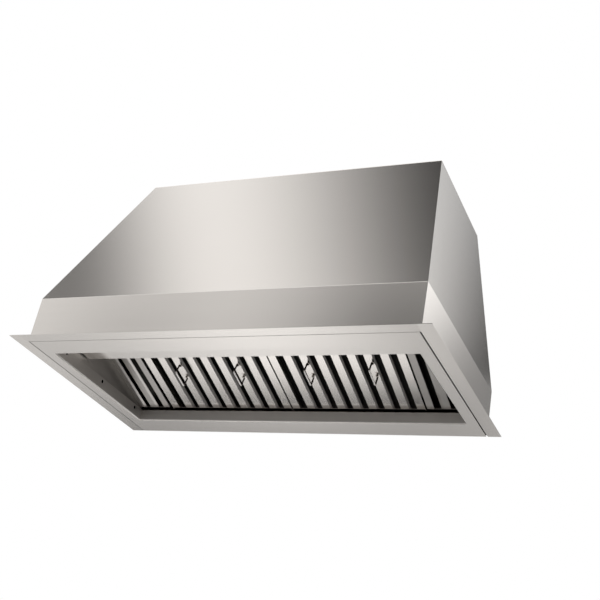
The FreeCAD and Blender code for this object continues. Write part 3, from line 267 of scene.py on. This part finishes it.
def shell_steel(name, axis, roof_shade=0.0):
    """Brushed outside of the body, painted darker towards the roof by a share as painted shade,
    and painted near black on the inside as painted shade.
    """
    material, graph, surface = new_material(name)
    shade = brush(graph, surface, axis, STEEL, SHEET_BRUSHING)
    place = graph.place()
    if roof_shade > 0.0:
        # Painted shade: darker towards the roof.
        higher = graph.ranged(graph.along(place, "z"), 0.0, roof_shade, FOLD_HEIGHT, ROOF_HEIGHT)
        shade = graph.mixed_colour(higher, shade, PAINTED_SHADE_STEEL)
    # Painted shade: the faces that look into the body are painted near black.
    level = graph.add("ShaderNodeVectorMath", operation="MULTIPLY")
    level.inputs[1].default_value = (1.0, 1.0, 0.0)
    graph.join(place, level.inputs[0])
    outward = graph.dot(graph.facing(), level.outputs[0])
    inside = graph.ranged(outward, 1.0, 0.0, *INWARD_RANGE)
    graph.join(graph.mixed_colour(inside, shade, PAINTED_SHADE_STEEL), surface.inputs["Base Color"])
    return material


def ring_steel(name):
    """Brushed ring; the rims bent up round its opening are rougher and painted darker as painted
    shade.
    """
    material, graph, surface = new_material(name)
    shade = brush(graph, surface, "x", STEEL, SHEET_BRUSHING)
    level = graph.size_along(graph.facing(), "z")
    rim = graph.ranged(level, 1.0, 0.0, *RIM_TILT_RANGE)
    # Painted shade: the rims get a darker copy of the steel.
    graph.join(graph.mixed_colour(rim, shade, RIM_PAINTED_SHADE_STEEL), surface.inputs["Base Color"])
    graph.join(graph.ranged(rim, SHEET_BRUSHING.roughness, RIM_ROUGHNESS),
               surface.inputs["Roughness"])
    return material


def slat_steel(name, node_name):
    """Brushed strips, bright on the face; the walls that turn up from it are painted a darker
    grey as painted shade and are mostly non-metal.
    """
    material, graph, surface = new_material(name)
    shade = brush(graph, surface, "y", STEEL, SLAT_BRUSHING)
    # Painted shade on the walls that turn up from the face.
    wall = graph.depth_above(node_name, *SLAT_WALL_DEPTH)
    graph.join(graph.mixed_colour(wall, shade, WALL_PAINTED_SHADE_STEEL), surface.inputs["Base Color"])
    graph.join(graph.ranged(wall, 1.0, WALL_METALLIC), surface.inputs["Metallic"])
    return material


def slotted_steel(name, node_name):
    """Strips over a hollow, painted darker than the other steel and painted to black behind the
    slots: painted shade.
    """
    material, graph, surface = new_material(name)
    # Painted shade: a darker copy of the steel.
    shade = brush(graph, surface, "y", shaded(STEEL, INFILL_PAINTED_SHADE), INFILL_BRUSHING)
    # Painted shade: black inside the hollow behind the slots.
    inside = graph.depth_above(node_name, *INFILL_DARK_DEPTH)
    graph.join(graph.mixed_colour(inside, shade, PAINTED_SHADE_STEEL), surface.inputs["Base Color"])
    return material


def liner_steel(name):
    """Brushed walls beside the filters, painted darker towards the back of the hood as painted
    shade.
    """
    material, graph, surface = new_material(name)
    shade = brush(graph, surface, "y", STEEL, LINER_BRUSHING)
    # Painted shade towards the back of the hood.
    rear = graph.ranged(graph.along(graph.place(), "y"), 0.0, 1.0, LINER_FRONT, LINER_REAR)
    graph.join(graph.mixed_colour(rear, shade, PAINTED_SHADE_STEEL), surface.inputs["Base Color"])
    return material


# ---------------------------------------------------------------- other materials

FINE_FREQUENCY = 900.0
FINE_DETAIL = 3.0
SATIN_CONTRAST = 0.07
SATIN_SPREAD = 0.2
PEEL_FREQUENCY = 1400.0
PEEL_DETAIL = 2.0
PEEL_CONTRAST = 0.1
PEEL_SPREAD = 0.15
PEEL_STRENGTH = 0.15
PEEL_HEIGHT = 0.00005
STIPPLE_FREQUENCY = 1100.0
STIPPLE_DETAIL = 2.0
CRYSTAL_FREQUENCY = 110.0

# The lowest bar's colour is a painted highlight; the legs' colour is painted shade.
PAINTED_HIGHLIGHT_WIRE = ((0.78, 0.75, 0.72), (0.86, 0.83, 0.80))
PAINTED_SHADE_WIRE = (0.06, 0.052, 0.048)
WIRE_DARK_DEPTH = (0.0022, 0.0048)
WIRE_ROUGHNESS = (0.18, 0.26)
ZINC = ((0.42, 0.43, 0.44), (0.56, 0.57, 0.58))
ZINC_ROUGHNESS = (0.3, 0.5)
GLASS = ((0.82, 0.83, 0.82), (0.93, 0.93, 0.9))
GLASS_ROUGHNESS = (0.3, 0.5)
GLASS_CLEARNESS = 0.35
NICKEL = (0.6, 0.58, 0.55)
GROUND_STEEL = (0.55, 0.55, 0.55)
CAST_ALUMINIUM = (0.6, 0.6, 0.6)
GLOSS_BLACK = (0.02, 0.02, 0.02)
MOTOR_PAINT = (0.03, 0.03, 0.032)
BLACK_NYLON = (0.025, 0.025, 0.025)


def bail_steel(name, node_name):
    """Round wire, painted dark on its legs as painted shade and painted bright on its lowest bar
    as a painted highlight.
    """
    material, graph, surface = new_material(name)
    fine = graph.noise(FINE_FREQUENCY, FINE_DETAIL)
    # Painted shade on the legs, painted highlight on the lowest bar.
    leg = graph.depth_above(node_name, *WIRE_DARK_DEPTH)
    painted_highlight = graph.mixed_colour(fine, *PAINTED_HIGHLIGHT_WIRE)
    graph.join(graph.mixed_colour(leg, painted_highlight, PAINTED_SHADE_WIRE), surface.inputs["Base Color"])
    graph.join(graph.ranged(fine, *WIRE_ROUGHNESS), surface.inputs["Roughness"])
    surface.inputs["Metallic"].default_value = 1.0
    return material


def galvanised(name):
    """Zinc-coated sheet with its crystal pattern."""
    material, graph, surface = new_material(name)
    crystals = graph.add("ShaderNodeTexVoronoi")
    crystals.inputs["Scale"].default_value = CRYSTAL_FREQUENCY
    graph.join(graph.place(), crystals.inputs["Vector"])
    separate = graph.add("ShaderNodeSeparateColor")
    graph.join(crystals.outputs["Color"], separate.inputs[0])
    graph.join(graph.mixed_colour(separate.outputs[0], *ZINC), surface.inputs["Base Color"])
    graph.join(graph.ranged(separate.outputs[1], *ZINC_ROUGHNESS), surface.inputs["Roughness"])
    surface.inputs["Metallic"].default_value = 1.0
    return material


def satin_metal(name, colour, roughness):
    """Even satin metal with a fine random grain."""
    material, graph, surface = new_material(name)
    fine = graph.noise(FINE_FREQUENCY, FINE_DETAIL)
    graph.join(graph.mottled(fine, colour, SATIN_CONTRAST), surface.inputs["Base Color"])
    graph.join(graph.spread(fine, roughness, SATIN_SPREAD), surface.inputs["Roughness"])
    surface.inputs["Metallic"].default_value = 1.0
    return material


def moulded(name, colour, roughness):
    """Moulded or painted surface with a fine orange-peel texture."""
    material, graph, surface = new_material(name)
    peel = graph.noise(PEEL_FREQUENCY, PEEL_DETAIL)
    graph.join(graph.mottled(peel, colour, PEEL_CONTRAST), surface.inputs["Base Color"])
    graph.join(graph.spread(peel, roughness, PEEL_SPREAD), surface.inputs["Roughness"])
    bump = graph.add("ShaderNodeBump")
    bump.inputs["Strength"].default_value = PEEL_STRENGTH
    bump.inputs["Distance"].default_value = PEEL_HEIGHT
    graph.join(peel, bump.inputs["Height"])
    graph.join(bump.outputs[0], surface.inputs["Normal"])
    return material


def frosted_glass(name):
    """Frosted lamp lens with a fine stipple."""
    material, graph, surface = new_material(name)
    stipple = graph.noise(STIPPLE_FREQUENCY, STIPPLE_DETAIL)
    graph.join(graph.mixed_colour(stipple, *GLASS), surface.inputs["Base Color"])
    graph.join(graph.ranged(stipple, *GLASS_ROUGHNESS), surface.inputs["Roughness"])
    surface.inputs["Transmission Weight"].default_value = GLASS_CLEARNESS
    return material


def paint_nodes():
    """Give every CAD node its finish; several finishes hold painted shade, and the wire a painted
    highlight.
    """
    finishes = {
        shell_steel("shell_grain_x", "x"): ["front_panel", "back_panel", "top_panel"],
        shell_steel("shell_grain_y", "y", SIDE_ROOF_SHADE): ["side_panel_left", "side_panel_right"],
        ring_steel("ring_steel"): ["mouth_ring"],
        brushed_steel("panel_steel", "x"): ["light_panel", "rear_shelf", "button_plate"],
        liner_steel("liner_steel"): ["liner_left", "liner_right"],
        brushed_steel("frame_steel", "y"): [
            "filter_frame_left", "filter_frame_right", "bail_clips_left", "bail_clips_right"],
        slat_steel("slat_steel", "lower_slats_left"): ["lower_slats_left", "lower_slats_right"],
        # The upper strips are painted near black as painted shade.
        brushed_steel("painted_shade_slats", "y", PAINTED_SHADE_STEEL, HOOD_BRUSHING): [
            "upper_slats_left", "upper_slats_right"],
        slotted_steel("infill_steel", "infill_left"): ["infill_left", "infill_right"],
        bail_steel("bail_steel", "bail_left_inner"): [
            "bail_left_outer", "bail_left_inner", "bail_right_inner", "bail_right_outer"],
        galvanised("zinc_sheet"): [
            "blower_scroll", "blower_cheek_left", "blower_cheek_right", "blower_wheel",
            "outlet_plate", "duct_collar", "damper_flap_front", "damper_flap_rear",
            "wiring_box", "wiring_cover", "motor_bracket"],
        satin_metal("satin_nickel", NICKEL, roughness=0.25): ["lamp_bezels"],
        moulded("gloss_black", GLOSS_BLACK, roughness=0.12): [
            "push_button_1", "push_button_2", "push_button_3", "push_button_4"],
        satin_metal("ground_steel", GROUND_STEEL, roughness=0.2): [
            "motor_shaft", "damper_rod", "back_screws", "collar_screws"],
        satin_metal("cast_aluminium", CAST_ALUMINIUM, roughness=0.45): ["lamp_housings"],
        moulded("motor_paint", MOTOR_PAINT, roughness=0.45): ["motor"],
        moulded("black_nylon", BLACK_NYLON, roughness=0.5): ["cable_gland", "switch_block"],
        frosted_glass("lens_glass"): ["lamp_lenses"],
    }
    for material, names in finishes.items():
        for name in names:
            nodes[name].data.materials.clear()
            nodes[name].data.materials.append(material)


# ---------------------------------------------------------------- studio

FLOOR_HEIGHT = -2.2
FLOOR_REACH = 20.0
FLOOR_COLOUR = (0.8, 0.8, 0.8)
FLOOR_ROUGHNESS = 0.9
FLOOR_CLOUD_FREQUENCY = 1.5
ROOM_LIGHT = (0.7, 0.7, 0.7, 1.0)
ROOM_WHITE = (1.0, 1.0, 1.0, 1.0)

FLOOR_CONTRAST = 0.02
BRIGHTEST = 4.0


class Card(NamedTuple):
    """A card's middle, its half sides, and its brightness from its first side to its last."""

    centre: tuple
    across: tuple
    up: tuple
    levels: tuple


# The levels were first fitted to tones of the photograph by a scratch program that isn't kept,
# and then rounded. Those of the fold, rear and flange cards were changed afterwards.
CARDS = {
    # Mirrored by the sloping face.
    "overhead_card": Card((-0.95, -0.3, 2.0), (1.75, 0.0, 0.0), (0.0, 1.0, 0.0),
                          (0.6, 0.4, 0.0, 1.4, 1.0, 0.0, 0.0, 0.0)),
    # Mirrored by the fold below it, and a little by the upright band.
    "fold_card": Card((-0.95, -2.1, 2.0), (2.6, 0.0, 0.0), (0.0, 0.75, 0.0), (1.4,)),
    # Mirrored by the upright band.
    "front_card": Card((-1.5, -3.0, 0.9), (1.75, 0.0, 0.0), (0.0, 0.0, 1.3),
                       (1.0, 0.8, 0.5, 0.9, 0.6, 0.0, 0.3, 0.5)),
    # Mirrored by the upright part of the right side.
    "rear_low_card": Card((1.24, 3.0, 1.06), (1.05, 0.0, 0.58), (-0.35, 0.0, 0.63),
                          (0.7, 0.7, 0.6, 0.2, 0.2, 1.4, 2.2)),
    # Mirrored by the right side's slope.
    "rear_high_card": Card((0.36, 3.0, 2.64), (1.05, 0.0, 0.58), (-0.53, 0.0, 0.95),
                           (0.4, 0.2, 0.0, 0.0, 1.1, 1.1, 0.0)),
    # Mirrored by the front of the flange and ring, the recessed panel and the strips' front ends.
    "flange_card": Card((-2.6, 3.65, -2.15), (2.5, 0.0, 0.0), (0.0, 1.05, 0.0),
                        (0.8, 0.7, 1.0, 2.0, 0.7, 0.4)),
    # Mirrored by the flange and ring towards the wall.
    "flange_rear_card": Card((-2.6, 6.0, -2.15), (2.5, 0.0, 0.0), (0.0, 1.3, 0.0),
                             (0.1, 0.0, 0.0, 0.3, 1.0)),
    # Mirrored by the middle of the filters' strips.
    "filter_card": Card((-1.1, 0.95, -2.15), (1.5, 0.0, 0.0), (0.0, 0.5, 0.0),
                        (1.0, 1.1, 1.6, 1.8, 0.7, 0.0)),
    "filter_rear_card": Card((-1.1, 2.0, -2.15), (1.5, 0.0, 0.0), (0.0, 0.55, 0.0), (0.0,)),
    # Mirrored by the strips' rear ends.
    "near_floor_card": Card((-0.8, -0.9, -2.15), (1.8, 0.0, 0.0), (0.0, 1.3, 0.0), (0.3,)),
}


def add_sheet(name, centre, across, up, material):
    """A flat four-cornered sheet; across and up are its half sides as vectors."""
    centre, across, up = Vector(centre), Vector(across), Vector(up)
    corners = [
        centre - across - up,
        centre + across - up,
        centre + across + up,
        centre - across + up,
    ]
    mesh = bpy.data.meshes.new(name)
    mesh.from_pydata([tuple(corner) for corner in corners], [], [(0, 1, 2, 3)])
    layer = mesh.uv_layers.new(name="sheet")
    for loop, place in zip(layer.data, ((0, 0), (1, 0), (1, 1), (0, 1))):
        loop.uv = place
    sheet = bpy.data.objects.new(name, mesh)
    scene.collection.objects.link(sheet)
    mesh.materials.append(material)
    return sheet


def floor_material():
    """Pale matt floor with faint clouds."""
    material, graph, surface = new_material("pale_floor")
    cloud = graph.noise(FLOOR_CLOUD_FREQUENCY, CLOUD_DETAIL)
    graph.join(graph.mottled(cloud, FLOOR_COLOUR, FLOOR_CONTRAST), surface.inputs["Base Color"])
    surface.inputs["Roughness"].default_value = FLOOR_ROUGHNESS
    return material


def card_material(name, levels):
    """A glow that is graded smoothly from the card's first side to its last."""
    material = bpy.data.materials.new(name)
    material.use_nodes = True
    graph = Graph(material.node_tree)
    across = graph.along(graph.add("ShaderNodeUVMap").outputs[0], "x")
    ramp = graph.add("ShaderNodeValToRGB")
    ramp.color_ramp.interpolation = "B_SPLINE"
    stops = ramp.color_ramp.elements
    while len(stops) < len(levels):
        stops.new(1.0)
    while len(stops) > len(levels):
        stops.remove(stops[-1])
    last = max(len(levels) - 1, 1)
    for number, (stop, level) in enumerate(zip(stops, levels)):
        share = level / BRIGHTEST
        stop.position = number / last
        stop.color = (share, share, share, 1.0)
    graph.join(across, ramp.inputs[0])
    glow = graph.add("ShaderNodeEmission")
    glow.inputs["Strength"].default_value = BRIGHTEST
    graph.join(ramp.outputs[0], glow.inputs["Color"])
    output = graph.add("ShaderNodeOutputMaterial")
    graph.join(glow.outputs[0], output.inputs["Surface"])
    return material


def add_card(name, card):
    """A glowing card that only reflections show."""
    sheet = add_sheet(name, card.centre, card.across, card.up, card_material(name, card.levels))
    sheet.visible_camera = False
    sheet.visible_diffuse = False
    sheet.visible_shadow = False


def add_world():
    """White for the camera, the metal and the glass; softer for the light on the hood."""
    world = bpy.data.worlds.new("studio")
    scene.world = world
    world.use_nodes = True
    graph = Graph(world.node_tree)
    path = graph.add("ShaderNodeLightPath")
    seen = path.outputs["Is Camera Ray"]
    for ray in ("Is Glossy Ray", "Is Transmission Ray"):
        either = graph.add("ShaderNodeMath", operation="MAXIMUM")
        graph.join(seen, either.inputs[0])
        graph.join(path.outputs[ray], either.inputs[1])
        seen = either.outputs[0]
    soft = graph.add("ShaderNodeBackground")
    soft.inputs["Color"].default_value = ROOM_LIGHT
    white = graph.add("ShaderNodeBackground")
    white.inputs["Color"].default_value = ROOM_WHITE
    mix = graph.add("ShaderNodeMixShader")
    graph.join(seen, mix.inputs[0])
    graph.join(soft.outputs[0], mix.inputs[1])
    graph.join(white.outputs[0], mix.inputs[2])
    output = graph.add("ShaderNodeOutputWorld")
    graph.join(mix.outputs[0], output.inputs["Surface"])


def add_studio():
    """Pale floor, and the cards whose reflections shade the steel."""
    add_sheet("floor", (0.0, 0.0, FLOOR_HEIGHT), (FLOOR_REACH, 0.0, 0.0),
              (0.0, FLOOR_REACH, 0.0), floor_material())
    for name, card in CARDS.items():
        add_card(name, card)


add_camera()
paint_nodes()
add_studio()
add_world()
scene.view_settings.view_transform = "Standard"
